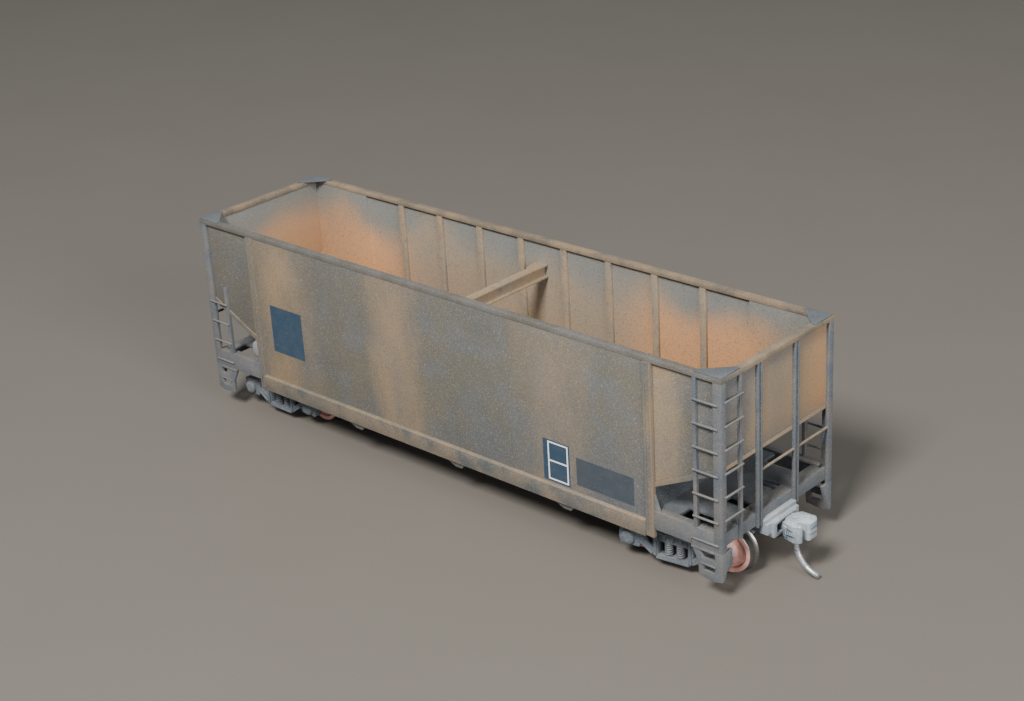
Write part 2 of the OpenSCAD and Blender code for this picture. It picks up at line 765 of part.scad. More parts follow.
module wheelset_at(x) translate([x, 0, axle_z]) wheelset();
module wheelset_a1() at_a() wheelset_at(half_base);
module wheelset_a2() at_a() wheelset_at(-half_base);
module wheelset_b1() at_b() wheelset_at(half_base);
module wheelset_b2() at_b() wheelset_at(-half_base);

top_rim();
corner_gussets();
side_sheet_right();
side_sheet_left();
inside_posts_right();
inside_posts_left();
bolster_posts();
cross_brace();
end_sheet_a();
end_sheet_b();
end_posts_a();
end_posts_b();
corner_posts();
end_sill_a();
end_sill_b();
side_sill_right();
side_sill_left();
end_side_sills();
slope_sheet_a();
slope_sheet_b();
hopper_ridges();
centre_hood();
outlet_sides();
outlet_doors();
centre_sill();
body_bolster_a();
body_bolster_b();
draft_box_a();
draft_box_b();
coupler_a();
coupler_b();
trip_pin_a();
trip_pin_b();
side_ladders();
short_ladders();
end_ladders();
handrails();
corner_steps();
air_reservoir();
brake_cylinder();
control_valve();
brake_wheel();
truck_frame_a();
truck_frame_b();
truck_bolster_a();
truck_bolster_b();
truck_springs_a();
truck_springs_b();
truck_screw_a();
truck_screw_b();
wheelset_a1();
wheelset_a2();
wheelset_b1();
wheelset_b2();
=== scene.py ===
"""Open hopper wagon, a weathered scale model: its finishes and fine pieces around the CAD frame.

Lengths are metres. X runs along the wagon towards end A, Y to its left side, Z up.
New shapes are worked out with numpy in millimetres and scaled once, in make_piece.
"""
import json

import bmesh
import bpy
import numpy as np
from mathutils import Matrix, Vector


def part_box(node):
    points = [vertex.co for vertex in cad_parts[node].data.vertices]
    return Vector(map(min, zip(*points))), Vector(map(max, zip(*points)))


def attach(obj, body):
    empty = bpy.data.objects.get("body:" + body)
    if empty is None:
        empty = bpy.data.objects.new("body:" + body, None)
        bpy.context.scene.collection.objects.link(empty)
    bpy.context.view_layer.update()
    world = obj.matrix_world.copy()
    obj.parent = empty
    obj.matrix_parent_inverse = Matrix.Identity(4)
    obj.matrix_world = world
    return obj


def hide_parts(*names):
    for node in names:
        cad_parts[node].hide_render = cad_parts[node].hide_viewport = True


MM = 0.001
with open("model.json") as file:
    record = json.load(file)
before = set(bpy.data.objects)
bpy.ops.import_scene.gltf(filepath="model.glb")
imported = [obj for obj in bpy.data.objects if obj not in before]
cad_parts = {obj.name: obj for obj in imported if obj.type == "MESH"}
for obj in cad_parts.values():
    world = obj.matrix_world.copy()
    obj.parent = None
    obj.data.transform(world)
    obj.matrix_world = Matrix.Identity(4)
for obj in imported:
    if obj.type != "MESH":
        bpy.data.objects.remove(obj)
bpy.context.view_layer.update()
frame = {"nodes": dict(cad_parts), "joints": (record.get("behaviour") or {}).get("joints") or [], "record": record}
nodes = frame["nodes"]
body_of_node = {n: b for b, ns in frame["record"]["behaviour"]["bodies"].items() for n in ns}
slot_of_node = {s["node"]: s["material_slot"] for s in frame["record"]["subparts"]}


def box_mm(node):
    """The lowest and highest corner of a CAD node, in millimetres."""
    low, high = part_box(node)
    return np.array(low) / MM, np.array(high) / MM


# ---------------------------------------------------------------- sizes, in millimetres
RIM_LO, RIM_HI = box_mm("top_rim")
SHEET_LO, _ = box_mm("side_sheet_right")
END_LO, END_HI = box_mm("end_sheet_a")
POST_LO, POST_HI = box_mm("bolster_posts")
STEP_LO, STEP_HI = box_mm("corner_steps")
FRAME_B_LO, FRAME_B_HI = box_mm("truck_frame_b")
WHEEL_B_LO, WHEEL_B_HI = box_mm("wheelset_b1")
COUPLER_LO, COUPLER_HI = box_mm("coupler_a")
TANK_LO, TANK_HI = box_mm("air_reservoir")
CYL_LO, CYL_HI = box_mm("brake_cylinder")
VALVE_LO, VALVE_HI = box_mm("control_valve")
HALF_X = RIM_HI[0]
OUT_Y = -SHEET_LO[1]
END_X = END_HI[0]
RIM_Z = RIM_LO[2]
BOLSTER_X = abs((FRAME_B_LO[0] + FRAME_B_HI[0]) / 2)
WHEEL_R = (WHEEL_B_HI[2] - WHEEL_B_LO[2]) / 2
AXLE_Z = (WHEEL_B_HI[2] + WHEEL_B_LO[2]) / 2
FLANGE_H = 0.65
TREAD_R = WHEEL_R - FLANGE_H
HALF_BASE = abs((WHEEL_B_LO[0] + WHEEL_B_HI[0]) / 2 + BOLSTER_X)
FRAME_OUT_Y = 14.4
SLOPE_DEG = 25.6
# How far the side ladders' inner stile and the corner post reach in from the rim's end
STILE_FROM, STILE_TO, CORNER_FROM = 6.8, 6.0, 2.0
CAP_Y = FRAME_B_HI[1]
TURN_A = next(j for j in frame["joints"] if j["name"] == "wheelset_a_outer_spin")["axis"]
TURN_A = float(np.arctan2(-TURN_A[0], TURN_A[1]))


# ---------------------------------------------------------------- shapes
def rotate_z(points, angle, centre=(0, 0)):
    """Points turned by angle about the upright line through centre."""
    c, s = np.cos(angle), np.sin(angle)
    p = np.array(points, float)
    dx, dy = p[:, 0] - centre[0], p[:, 1] - centre[1]
    return np.stack([centre[0] + c * dx - s * dy, centre[1] + s * dx + c * dy, p[:, 2]], 1)


def at_end_b(points):
    """Half a turn about Z, from end A to end B."""
    return np.array(points, float) * [-1, -1, 1]


def on_truck(points, end):
    """Points given about a truck's own pin, put under end A (turned) or end B (half a turn)."""
    if end == "a":
        return rotate_z(points, TURN_A) + [BOLSTER_X, 0, 0]
    return at_end_b(points) - [BOLSTER_X, 0, 0]


def make_piece(name, parts, body, material, smooth_angle=35, bevel=0.0):
    """One object from several (points, faces) parts in millimetres. It rides on a body."""
    points, faces, start = [], [], 0
    for p, f in parts:
        points.append(np.array(p, float))
        faces += [[i + start for i in face] for face in f]
        start += len(p)
    mesh = bpy.data.meshes.new(name)
    mesh.from_pydata((np.concatenate(points) * MM).tolist(), [], faces)
    piece = bpy.data.objects.new(name, mesh)
    bpy.context.scene.collection.objects.link(piece)
    clean(mesh, smooth_angle, bevel * MM)
    mesh.materials.append(material)
    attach(piece, body)
    return piece


def clean(mesh, smooth_angle, bevel=0.0, flat=False):
    """Merges doubles, turns faces outwards, bevels the sharp edges and smooths the shallow ones."""
    bm = bmesh.new()
    bm.from_mesh(mesh)
    bmesh.ops.remove_doubles(bm, verts=bm.verts, dist=1e-6)
    if flat:
        bmesh.ops.dissolve_limit(bm, angle_limit=np.radians(0.4), verts=bm.verts, edges=bm.edges)
    bmesh.ops.recalc_face_normals(bm, faces=bm.faces)
    if bevel > 0:
        sharp = [e for e in bm.edges if e.is_manifold and e.calc_face_angle(0) > np.radians(38)]
        bmesh.ops.bevel(bm, geom=sharp, offset=bevel, offset_type="OFFSET", segments=2,
                        profile=0.6, affect="EDGES", clamp_overlap=True)
    limit = np.radians(smooth_angle)
    for face in bm.faces:
        face.smooth = True
    for edge in bm.edges:
        edge.smooth = edge.is_manifold and edge.calc_face_angle(0) < limit
    bm.to_mesh(mesh)
    bm.free()
    mesh.update()


def grid_faces(rows, columns, wrap_rows=False, wrap_columns=False):
    """Quads between neighbouring points of a rows by columns grid, as a list of index lists."""
    i = np.arange(rows if wrap_rows else rows - 1)
    j = np.arange(columns if wrap_columns else columns - 1)
    i, j = [k.ravel() for k in np.meshgrid(i, j, indexing="ij")]
    i2, j2 = (i + 1) % rows, (j + 1) % columns
    quads = np.stack([i * columns + j, i * columns + j2, i2 * columns + j2, i2 * columns + j], 1)
    return quads.tolist()


def slab(outline, low, high, axis):
    """A flat outline given thickness: its points at axis = low, and again at axis = high."""
    o = np.array(outline, float)
    n = len(o)
    ring = np.concatenate([np.insert(o, axis, low, axis=1), np.insert(o, axis, high, axis=1)])
    sides = [[i, (i + 1) % n, n + (i + 1) % n, n + i] for i in range(n)]
    return ring, [list(range(n))] + [list(range(n, 2 * n))] + sides


def block(low, high):
    """A box from its lowest corner to its highest."""
    (x0, y0, z0), (x1, y1, z1) = low, high
    return slab([[x0, y0], [x1, y0], [x1, y1], [x0, y1]], z0, z1, 2)


def lathe(profile, centre, axis, count=24):
    """A profile of (radius, distance) turned about an axis: point = centre + distance * axis
    + radius * (cos a * u + sin a * v), with u and v square to the axis."""
    axis = np.array(axis, float) / np.linalg.norm(axis)
    u = np.cross(axis, [0, 0, 1] if abs(axis[2]) < 0.9 else [1, 0, 0])
    u /= np.linalg.norm(u)
    v = np.cross(axis, u)
    a = np.linspace(0, 2 * np.pi, count, endpoint=False)
    ring = np.cos(a)[:, None] * u + np.sin(a)[:, None] * v
    prof = np.array(profile, float)
    p = np.array(centre) + prof[:, 1, None, None] * axis + prof[:, 0, None, None] * ring
    faces = grid_faces(len(prof), count, wrap_columns=True)
    faces += [list(range(count)), [(len(prof) - 1) * count + k for k in range(count)]]
    return p.reshape(-1, 3), faces


def tube(path, radius, count=10, closed=False):
    """A round section carried along a path: point = path + radius * (cos a * n + sin a * b),
    where n and b are square to the path's direction and n is carried on from point to point."""
    p = np.array(path, float)
    t = np.gradient(p, axis=0) if not closed else np.roll(p, -1, 0) - np.roll(p, 1, 0)
    t /= np.linalg.norm(t, axis=1)[:, None]
    n = np.cross(t[0], [0, 0, 1] if abs(t[0][2]) < 0.9 else [1, 0, 0])
    normals = []
    for direction in t:
        n = n - direction * (n @ direction)
        n = n / np.linalg.norm(n)
        normals.append(n)
    n = np.array(normals)
    b = np.cross(t, n)
    a = np.linspace(0, 2 * np.pi, count, endpoint=False)
    r = np.broadcast_to(np.array(radius, float), len(p))[:, None, None]
    q = p[:, None] + r * (np.cos(a)[None, :, None] * n[:, None] + np.sin(a)[None, :, None] * b[:, None])
    faces = grid_faces(len(p), count, wrap_rows=closed, wrap_columns=True)
    if not closed:
        faces += [list(range(count)), [(len(p) - 1) * count + k for k in range(count)]]
    return q.reshape(-1, 3), faces


def bolt(centre, axis, radius=0.2, height=0.15):
    """A low round head: a lathe profile with a rounded shoulder."""
    profile = [[radius, -0.05], [radius, height * 0.5], [radius * 0.7, height], [radius * 0.1, height * 1.1]]
    return lathe(profile, centre, axis, 10)


def moved(part, place):
    """A part with its points passed through a placing function."""
    return place(part[0]), part[1]


# ---------------------------------------------------------------- materials
class Finish:
    """A material's node tree, with short calls that add a node and give its output.
    Its patterns read Object coordinates in millimetres."""

    def __init__(self, name):
        self.material = bpy.data.materials.new(name)
        self.material.use_nodes = True
        self.tree = self.material.node_tree
        self.tree.nodes.clear()
        out = self.add("ShaderNodeOutputMaterial")
        self.shader = self.add("ShaderNodeBsdfPrincipled")
        self.tree.links.new(self.shader.outputs[0], out.inputs["Surface"])
        coordinates = self.add("ShaderNodeTexCoord")
        self.normal = coordinates.outputs["Normal"]
        scale = self.add("ShaderNodeVectorMath", operation="SCALE")
        scale.inputs["Scale"].default_value = 1 / MM
        self.tree.links.new(coordinates.outputs["Object"], scale.inputs[0])
        self.place = scale.outputs[0]
        self.x, self.y, self.z = self.split(self.place)

    def add(self, kind, **settings):
        node = self.tree.nodes.new(kind)
        for key, value in settings.items():
            setattr(node, key, value)
        return node

    def put(self, socket, value):
        if isinstance(value, bpy.types.NodeSocket):
            self.tree.links.new(value, socket)
        elif isinstance(value, (tuple, list)) and len(value) == 3 and socket.type == "RGBA":
            socket.default_value = (*value, 1)
        else:
            socket.default_value = value

    def split(self, vector):
        node = self.add("ShaderNodeSeparateXYZ")
        self.put(node.inputs[0], vector)
        return node.outputs[0], node.outputs[1], node.outputs[2]

    def math(self, operation, a, b=0.0, clamp=False):
        node = self.add("ShaderNodeMath", operation=operation, use_clamp=clamp)
        self.put(node.inputs[0], a)
        self.put(node.inputs[1], b)
        return node.outputs[0]

    def stretch(self, vector, scale, shift=(0, 0, 0)):
        node = self.add("ShaderNodeMapping")
        self.put(node.inputs["Vector"], vector)
        node.inputs["Scale"].default_value = scale
        node.inputs["Location"].default_value = shift
        return node.outputs[0]

    def noise(self, scale, detail=3.0, roughness=0.55, vector=None):
        node = self.add("ShaderNodeTexNoise")
        self.put(node.inputs["Vector"], vector or self.place)
        node.inputs["Scale"].default_value = scale
        node.inputs["Detail"].default_value = detail
        node.inputs["Roughness"].default_value = roughness
        return node.outputs["Fac"]

    def ramp(self, value, low, high, stops=((0, 0), (1, 1)), smooth=True):
        """value between low and high, through a curve of (place, level) stops."""
        span = self.add("ShaderNodeMapRange", clamp=True)
        self.put(span.inputs["Value"], value)
        span.inputs["From Min"].default_value = low
        span.inputs["From Max"].default_value = high
        curve = self.add("ShaderNodeValToRGB")
        curve.color_ramp.interpolation = "EASE" if smooth else "LINEAR"
        points = curve.color_ramp.elements
        while len(points) < len(stops):
            points.new(0.5)
        for point, (place, level) in zip(points, sorted(stops)):
            point.position = place
        for point, (place, level) in zip(points, sorted(stops)):
            point.color = (level, level, level, 1)
        self.tree.links.new(span.outputs[0], curve.inputs[0])
        return curve.outputs[0]

    def mix(self, amount, a, b, blend="MIX"):
        node = self.add("ShaderNodeMix", data_type="RGBA", blend_type=blend)
        self.put(node.inputs["Factor"], amount)
        self.put(node.inputs[6], a)
        self.put(node.inputs[7], b)
        return node.outputs[2]

    def bump(self, height, strength, distance_mm=0.05):
        node = self.add("ShaderNodeBump")
        node.inputs["Strength"].default_value = strength
        node.inputs["Distance"].default_value = distance_mm * MM
        self.put(node.inputs["Height"], height)
        self.tree.links.new(node.outputs[0], self.shader.inputs["Normal"])

    def done(self, colour, roughness, metallic=0.0, specular=0.35):
        self.put(self.shader.inputs["Base Color"], colour)
        self.put(self.shader.inputs["Roughness"], roughness)
        self.put(self.shader.inputs["Metallic"], metallic)
        self.shader.inputs["Specular IOR Level"].default_value = specular
        return self.material


SLATE = (0.055, 0.070, 0.088)
GREY = (0.088, 0.088, 0.078)
BLUE_GREY = (0.080, 0.098, 0.118)
TAN = (0.300, 0.208, 0.118)
DUST = (0.165, 0.146, 0.108)
ORANGE = (0.560, 0.275, 0.115)
PALE = (0.420, 0.405, 0.360)
SHADOW = (0.012, 0.012, 0.014)
PINK_RUST = (0.700, 0.390, 0.345)
STEEL = (0.34, 0.34, 0.33)

# How tan the right side is from end B to end A, in airbrushed upright bands
SIDE_BANDS = ((0.0, 0.15), (0.08, 0.12), (0.13, 0.35), (0.175, 0.85), (0.22, 0.40), (0.27, 0.12),
              (0.36, 0.08), (0.405, 0.70), (0.44, 0.60), (0.48, 0.12), (0.56, 0.03), (0.64, 0.06),
              (0.72, 0.42), (0.76, 0.30), (0.81, 0.05), (0.87, 0.10), (0.895, 0.80), (0.92, 0.72),
              (0.945, 0.20), (0.97, 0.04), (1.0, 0.04))


def speckled(f, colour, light=0.38, dark=0.52):
    """Fine overspray: pale and dark specks a few tenths of a millimetre across."""
    specks = f.noise(4.6, 2.0, 0.6)
    colour = f.mix(f.ramp(specks, 0.56, 0.69, ((0, 0), (1, light))), colour, PALE)
    spots = f.noise(4.0, 2.0, 0.6, f.stretch(f.place, (1, 1, 1), (31, 17, 5)))
    return f.mix(f.ramp(spots, 0.53, 0.67, ((0, 0), (1, dark))), colour, SLATE)


def outside_colour(f, tan_gain=1.0):
    """Grey paint with upright tan bands, a cloudy edge between them and dust on what faces up."""
    toward = f.math("SIGN", f.y)
    along = f.math("MULTIPLY", f.x, f.math("MULTIPLY", toward, -1.0))
    cloud = f.noise(0.075, 4.0, 0.6, f.stretch(f.place, (1, 1, 0.4)))
    shifted = f.math("ADD", along, f.math("MULTIPLY", f.math("SUBTRACT", cloud, 0.5), 13.0))
    bands = f.ramp(shifted, -76, 76, SIDE_BANDS)
    cloud_2 = f.noise(0.10, 4.0, 0.6, f.stretch(f.place, (1, 1, 0.5), (9, 4, 2)))
    patchy = f.math("ADD", f.math("MULTIPLY", f.ramp(cloud_2, 0.3, 0.7), 0.6), 0.5)
    amount = f.math("MULTIPLY", bands, patchy)
    amount = f.math("MULTIPLY", amount, tan_gain, clamp=True)
    blue = f.mix(f.ramp(f.noise(0.11, 3.0), 0.4, 0.65), GREY, BLUE_GREY)
    colour = f.mix(f.ramp(f.noise(0.05, 3.0), 0.42, 0.62, ((0, 0), (1, 0.6))), blue, SLATE)
    colour = f.mix(0.26, colour, DUST)
    low_blue = f.math("MULTIPLY", f.ramp(along, 5, 42), f.ramp(f.z, 13, 36, ((0, 0.75), (1, 0.0))))
    colour = f.mix(low_blue, colour, BLUE_GREY)
    colour = f.mix(amount, colour, TAN)
    up = f.split(f.normal)[2]
    settled = f.ramp(f.noise(0.22, 4.0), 0.36, 0.66, ((0, 0.12), (1, 0.75)))
    top = f.math("MULTIPLY", f.ramp(up, 0.3, 0.9), settled)
    return f.mix(top, colour, TAN)


def end_colour(f):
    """End panels: grey with blue specks by the near corner, tan in the middle, orange at the far side."""
    across = f.math("MULTIPLY", f.y, f.math("SIGN", f.x))
    cloud = f.noise(0.10, 3.0, 0.5, f.stretch(f.place, (1, 1, 0.5), (3, 8, 1)))
    shifted = f.math("ADD", across, f.math("MULTIPLY", f.math("SUBTRACT", cloud, 0.5), 8.0))
    bands = f.ramp(shifted, -18.5, 18.5, ((0.0, 0.15), (0.2, 0.35), (0.36, 0.85),
                                          (0.5, 0.60), (0.7, 0.90), (1.0, 1.0)))
    high = f.ramp(f.z, 24, 47, ((0, 0.30), (0.45, 1.0), (0.8, 0.9), (1, 0.55)))
    colour = f.mix(f.math("MULTIPLY", bands, high), BLUE_GREY, TAN)
    warm = f.math("MULTIPLY", f.ramp(shifted, 6, 17), f.math("MULTIPLY", high, 0.45))
    return f.mix(warm, colour, ORANGE)


def inside_colour(f):
    """Blue grey at the top of the walls, tan lower down, orange in the corners of the load space. Faces that look
    down are painted near black as painted shade.
    """
    cloud = f.noise(0.045, 2.0, 0.45)
    height = f.math("ADD", f.z, f.math("MULTIPLY", f.math("SUBTRACT", cloud, 0.5), 22.0))
    low = f.ramp(height, 20, 48, ((0, 1), (0.45, 0.70), (1, 0.10)))
    colour = f.mix(low, (0.150, 0.162, 0.162), (0.290, 0.220, 0.140))
    toward_ends = f.ramp(f.x, -76, 76, ((0, 0.60), (0.14, 0.95), (0.26, 0.15), (0.6, 0.06), (0.74, 0.90),
                                        (0.86, 1.0), (0.93, 0.30), (1, 0.10)))
    hot = f.math("MULTIPLY", toward_ends, f.ramp(height, 22, 45, ((0, 1.0), (0.5, 0.85), (1, 0.0))))
    colour = f.mix(hot, colour, ORANGE)
    up = f.split(f.normal)[2]
    colour = f.mix(f.ramp(up, 0.3, 0.9, ((0, 0), (1, 0.5))), colour, TAN)
    # Painted shade: faces that look down are mixed to the near-black SHADOW colour.
    return f.mix(f.ramp(up, -0.6, -0.3, ((0, 1), (1, 0))), colour, SHADOW)


def finish_paint(f, colour, roughness=0.82):
    """Specks over the colour, a dry grain in the surface and a little change of gloss."""
    colour = speckled(f, colour)
    grain = f.math("ADD", f.noise(5.0, 4.0, 0.65), f.math("MULTIPLY", f.noise(1.1, 3.0), 0.6))
    f.bump(grain, 0.35, 0.06)
    gloss = f.math("ADD", f.math("MULTIPLY", f.noise(0.6, 3.0), 0.18), roughness - 0.09)
    return f.done(colour, gloss)


def dusty_paint(name, tan_gain=1.0):
    f = Finish(name)
    return finish_paint(f, outside_colour(f, tan_gain))


def sheet_paint(name, axis, limit, outer=outside_colour):
    """Outside colours beyond the sheet's middle plane, inside colours within it."""
    f = Finish(name)
    place = f.math("ABSOLUTE", (f.x, f.y)[axis])
    inner = f.math("LESS_THAN", place, limit)
    return finish_paint(f, f.mix(inner, outer(f), inside_colour(f)))


def inside_paint(name):
    f = Finish(name)
    return finish_paint(f, inside_colour(f))


def rim_finish(name):
    """Grey along the near rim, tan along the far one and across the ends."""
    f = Finish(name)
    cloud = f.ramp(f.noise(0.16, 4.0, 0.6), 0.34, 0.66)
    far = f.ramp(f.y, -17.5, -12, ((0, 0.22), (1, 0.80)))
    amount = f.math("MULTIPLY", far, f.math("ADD", f.math("MULTIPLY", cloud, 0.7), 0.35), clamp=True)
    return finish_paint(f, f.mix(amount, f.mix(cloud, GREY, BLUE_GREY), TAN))


def plain_paint(name, base, dust, dust_amount=0.5, roughness=0.8, low_tan=0.0):
    """One paint with cloudy dust, most of it on faces that look up."""
    f = Finish(name)
    cloud = f.ramp(f.noise(0.25, 4.0, 0.6), 0.35, 0.68)
    up = f.split(f.normal)[2]
    amount = f.math("MULTIPLY", f.math("ADD", cloud, f.ramp(up, 0.2, 0.9)), dust_amount, clamp=True)
    colour = f.mix(amount, base, dust)
    colour = f.mix(f.ramp(f.noise(0.5, 3.0), 0.5, 0.72, ((0, 0), (1, 0.45))), colour, SLATE)
    if low_tan:
        colour = f.mix(f.math("MULTIPLY", f.ramp(f.noise(0.12, 3.0), 0.4, 0.6), low_tan), colour, TAN)
    return finish_paint(f, colour, roughness)


def wheel_finish(name, centre, axis):
    """Rusty faces, and bare steel beyond the tread radius: distance = |(place - centre) x axis|."""
    f = Finish(name)
    away = f.add("ShaderNodeVectorMath", operation="SUBTRACT")
    f.put(away.inputs[0], f.place)
    away.inputs[1].default_value = centre
    cross = f.add("ShaderNodeVectorMath", operation="CROSS_PRODUCT")
    f.put(cross.inputs[0], away.outputs[0])
    cross.inputs[1].default_value = axis
    length = f.add("ShaderNodeVectorMath", operation="LENGTH")
    f.put(length.inputs[0], cross.outputs[0])
    radius = length.outputs["Value"]
    tread = f.ramp(radius, TREAD_R - 0.16, TREAD_R - 0.06)
    hub = f.ramp(radius, 1.15, 1.45, ((0, 1), (1, 0)))
    line = f.math("MULTIPLY", f.ramp(radius, TREAD_R - 1.25, TREAD_R - 1.0, ((0, 0), (0.5, 1), (1, 0))), 0.7)
    rust = f.mix(f.ramp(f.noise(0.9, 4.0), 0.35, 0.65), PINK_RUST, (0.600, 0.290, 0.245))
    rust = f.mix(line, rust, (0.12, 0.06, 0.055))
    rust = f.mix(hub, rust, (0.30, 0.35, 0.42))
    rust = speckled(f, rust, 0.3, 0.25)
    steel = f.mix(f.noise(1.5, 2.0), (0.20, 0.20, 0.19), STEEL)
    f.bump(f.noise(4.0, 3.0), 0.25, 0.04)
    rough = f.math("SUBTRACT", 0.75, f.math("MULTIPLY", tread, 0.42))
    return f.done(f.mix(tread, rust, steel), rough, tread)


def bare_steel(name):
    """Drawn wire: a dark coat rubbed to bright metal in patches."""
    f = Finish(name)
    worn = f.ramp(f.noise(0.8, 4.0, 0.6), 0.35, 0.6)
    f.bump(f.noise(3.0, 3.0), 0.2, 0.03)
    rough = f.math("SUBTRACT", 0.6, f.math("MULTIPLY", worn, 0.25))
    return f.done(f.mix(worn, (0.10, 0.12, 0.15), (0.50, 0.52, 0.54)), rough,
                  f.math("MULTIPLY", worn, 0.9))


def patch_paint(name, colour):
    """A flat printed patch under a thin mist of dust."""
    f = Finish(name)
    mist = f.ramp(f.noise(2.8, 3.0, 0.6), 0.60, 0.82, ((0, 0.01), (1, 0.3)))
    shade = f.mix(f.ramp(f.noise(0.4, 3.0), 0.4, 0.7, ((0, 0), (1, 0.08))), colour, DUST)
    f.bump(f.noise(5.0, 3.0), 0.15, 0.04)
    return f.done(f.mix(mist, shade, PALE), 0.62)


def floor_finish(name):
    """A grey brown table top, plain and faintly grained."""
    f = Finish(name)
    f.bump(f.noise(1.4, 3.0, 0.6), 0.25, 0.15)
    return f.done(f.mix(f.noise(0.02, 2.0), (0.145, 0.134, 0.118), (0.158, 0.146, 0.130)), 0.72)


SIDE_MID = OUT_Y - 0.75
side_paint = sheet_paint("dusty grey side paint", 1, SIDE_MID)
end_paint = sheet_paint("dusty grey end paint", 0, END_X - 0.4, end_colour)
rim_paint = rim_finish("dusty rim paint")
post_paint = dusty_paint("dusty post paint", 0.9)
tip_paint = plain_paint("dull outlet paint", (0.090, 0.085, 0.078), (0.170, 0.135, 0.100), 0.35)
side_sill_paint = plain_paint("dusty side sill paint", (0.082, 0.088, 0.090),
                              (0.230, 0.180, 0.122), 0.48, low_tan=0.30)
# Painted shade: the body bolsters' deck plates get a darker blue grey so the cavity under each slope sheet reads
# dark.
deck_shade_paint = plain_paint("shadowed deck paint", (0.052, 0.064, 0.080), (0.120, 0.125, 0.130), 0.34)
lit_post_paint = plain_paint("lit tan post paint", (0.225, 0.190, 0.145),
                             (0.330, 0.240, 0.155), 0.65, low_tan=0.5)
load_paint = inside_paint("load space paint")
ladder_paint = plain_paint("blue grey ladder paint", (0.082, 0.100, 0.128),
                           (0.215, 0.195, 0.155), 0.28, low_tan=0.14)
sill_paint = plain_paint("blue grey sill paint", (0.092, 0.108, 0.130), (0.190, 0.175, 0.145), 0.38)
gusset_paint = plain_paint("chipped gusset paint", (0.062, 0.078, 0.098), (0.150, 0.158, 0.165), 0.34)
truck_paint = plain_paint("light blue grey truck paint", (0.092, 0.114, 0.142), (0.215, 0.225, 0.230), 0.38)
under_paint = plain_paint("dark underframe paint", (0.030, 0.033, 0.038), (0.07, 0.065, 0.055), 0.4)
tank_paint = plain_paint("pale brake gear paint", (0.210, 0.240, 0.285), PALE, 0.30)
box_paint = plain_paint("chalky draft box paint", (0.200, 0.240, 0.290), (0.40, 0.43, 0.45), 0.50)
coupler_paint = plain_paint("chalky coupler dust", (0.130, 0.170, 0.220), (0.54, 0.60, 0.64), 0.55, 0.7)
steel_wire = bare_steel("rubbed steel wire")
slate_patch = patch_paint("slate blue patch", (0.042, 0.056, 0.074))
blue_patch = patch_paint("deep blue patch", (0.022, 0.050, 0.088))
white_line = patch_paint("white line", (0.80, 0.84, 0.86))
dark_gap = plain_paint("shadowed gap", SHADOW, (0.05, 0.045, 0.04), 0.3)

node_finish = {
    "top_rim": rim_paint, "corner_gussets": gusset_paint, "bolster_posts": post_paint,
    "side_sheet_right": side_paint, "side_sheet_left": side_paint,
    "end_sheet_a": end_paint, "end_sheet_b": end_paint,
    "corner_posts": ladder_paint, "side_ladders": ladder_paint, "short_ladders": ladder_paint,
    "end_ladders": ladder_paint, "handrails": post_paint, "corner_steps": ladder_paint,
    "side_sill_right": side_sill_paint, "side_sill_left": side_sill_paint, "end_side_sills": ladder_paint,
    "air_reservoir": tank_paint, "brake_cylinder": tank_paint, "control_valve": tank_paint,
    "brake_wheel": sill_paint, "outlet_doors": under_paint, "centre_sill": under_paint,
    "outlet_sides": tip_paint, "inside_posts_right": lit_post_paint, "inside_posts_left": lit_post_paint,
    "cross_brace": lit_post_paint, "body_bolster_a": deck_shade_paint, "body_bolster_b": deck_shade_paint,
    "draft_box_a": box_paint, "draft_box_b": box_paint,
}
slot_finish = {"inside_paint": load_paint, "frame_paint": sill_paint, "truck_paint": truck_paint,
               "coupler_finish": coupler_paint, "bright_steel": steel_wire}
for joint in frame["joints"]:
    if joint["name"].endswith("_spin"):
        wheels = frame["record"]["behaviour"]["bodies"][joint["child"]][0]
        place = tuple(c / MM for c in joint["pos_m"])
        node_finish[wheels] = wheel_finish(wheels + " rust and steel", place, tuple(joint["axis"]))

# Bevel of each node's edges, in millimetres; the wheelsets and the trip pins keep their CAD mesh
EDGE = 0.09
kept_smooth = {"wheelset_a1", "wheelset_a2", "wheelset_b1", "wheelset_b2", "trip_pin_a", "trip_pin_b",
               "handrails", "truck_springs_a", "truck_springs_b"}
fine_edge = {"side_ladders": 0.04, "short_ladders": 0.04, "end_ladders": 0.04, "corner_gussets": 0.04,
             "brake_wheel": 0.04, "end_posts_a": 0.06, "end_posts_b": 0.06, "corner_steps": 0.06,
             "truck_frame_a": 0.12, "truck_frame_b": 0.12, "coupler_a": 0.14, "coupler_b": 0.14}


def finish_node(name):
    """Gives a CAD node its finish. All but the round ones are shown as a copy with worn edges."""
    node = nodes[name]
    finish = node_finish.get(name) or slot_finish[slot_of_node[name]]
    if name in kept_smooth:
        node.data.materials.clear()
        node.data.materials.append(finish)
        return
    mesh = node.data.copy()
    mesh.name = name + "_worn"
    for attribute in [a.name for a in mesh.attributes if a.name == "custom_normal"]:
        mesh.attributes.remove(mesh.attributes[attribute])
    clean(mesh, 35, fine_edge.get(name, EDGE) * MM, flat=True)
    mesh.materials.clear()
    mesh.materials.append(finish)
    piece = bpy.data.objects.new(name + "_worn", mesh)
    bpy.context.scene.collection.objects.link(piece)
    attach(piece, body_of_node[name])
    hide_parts(name)


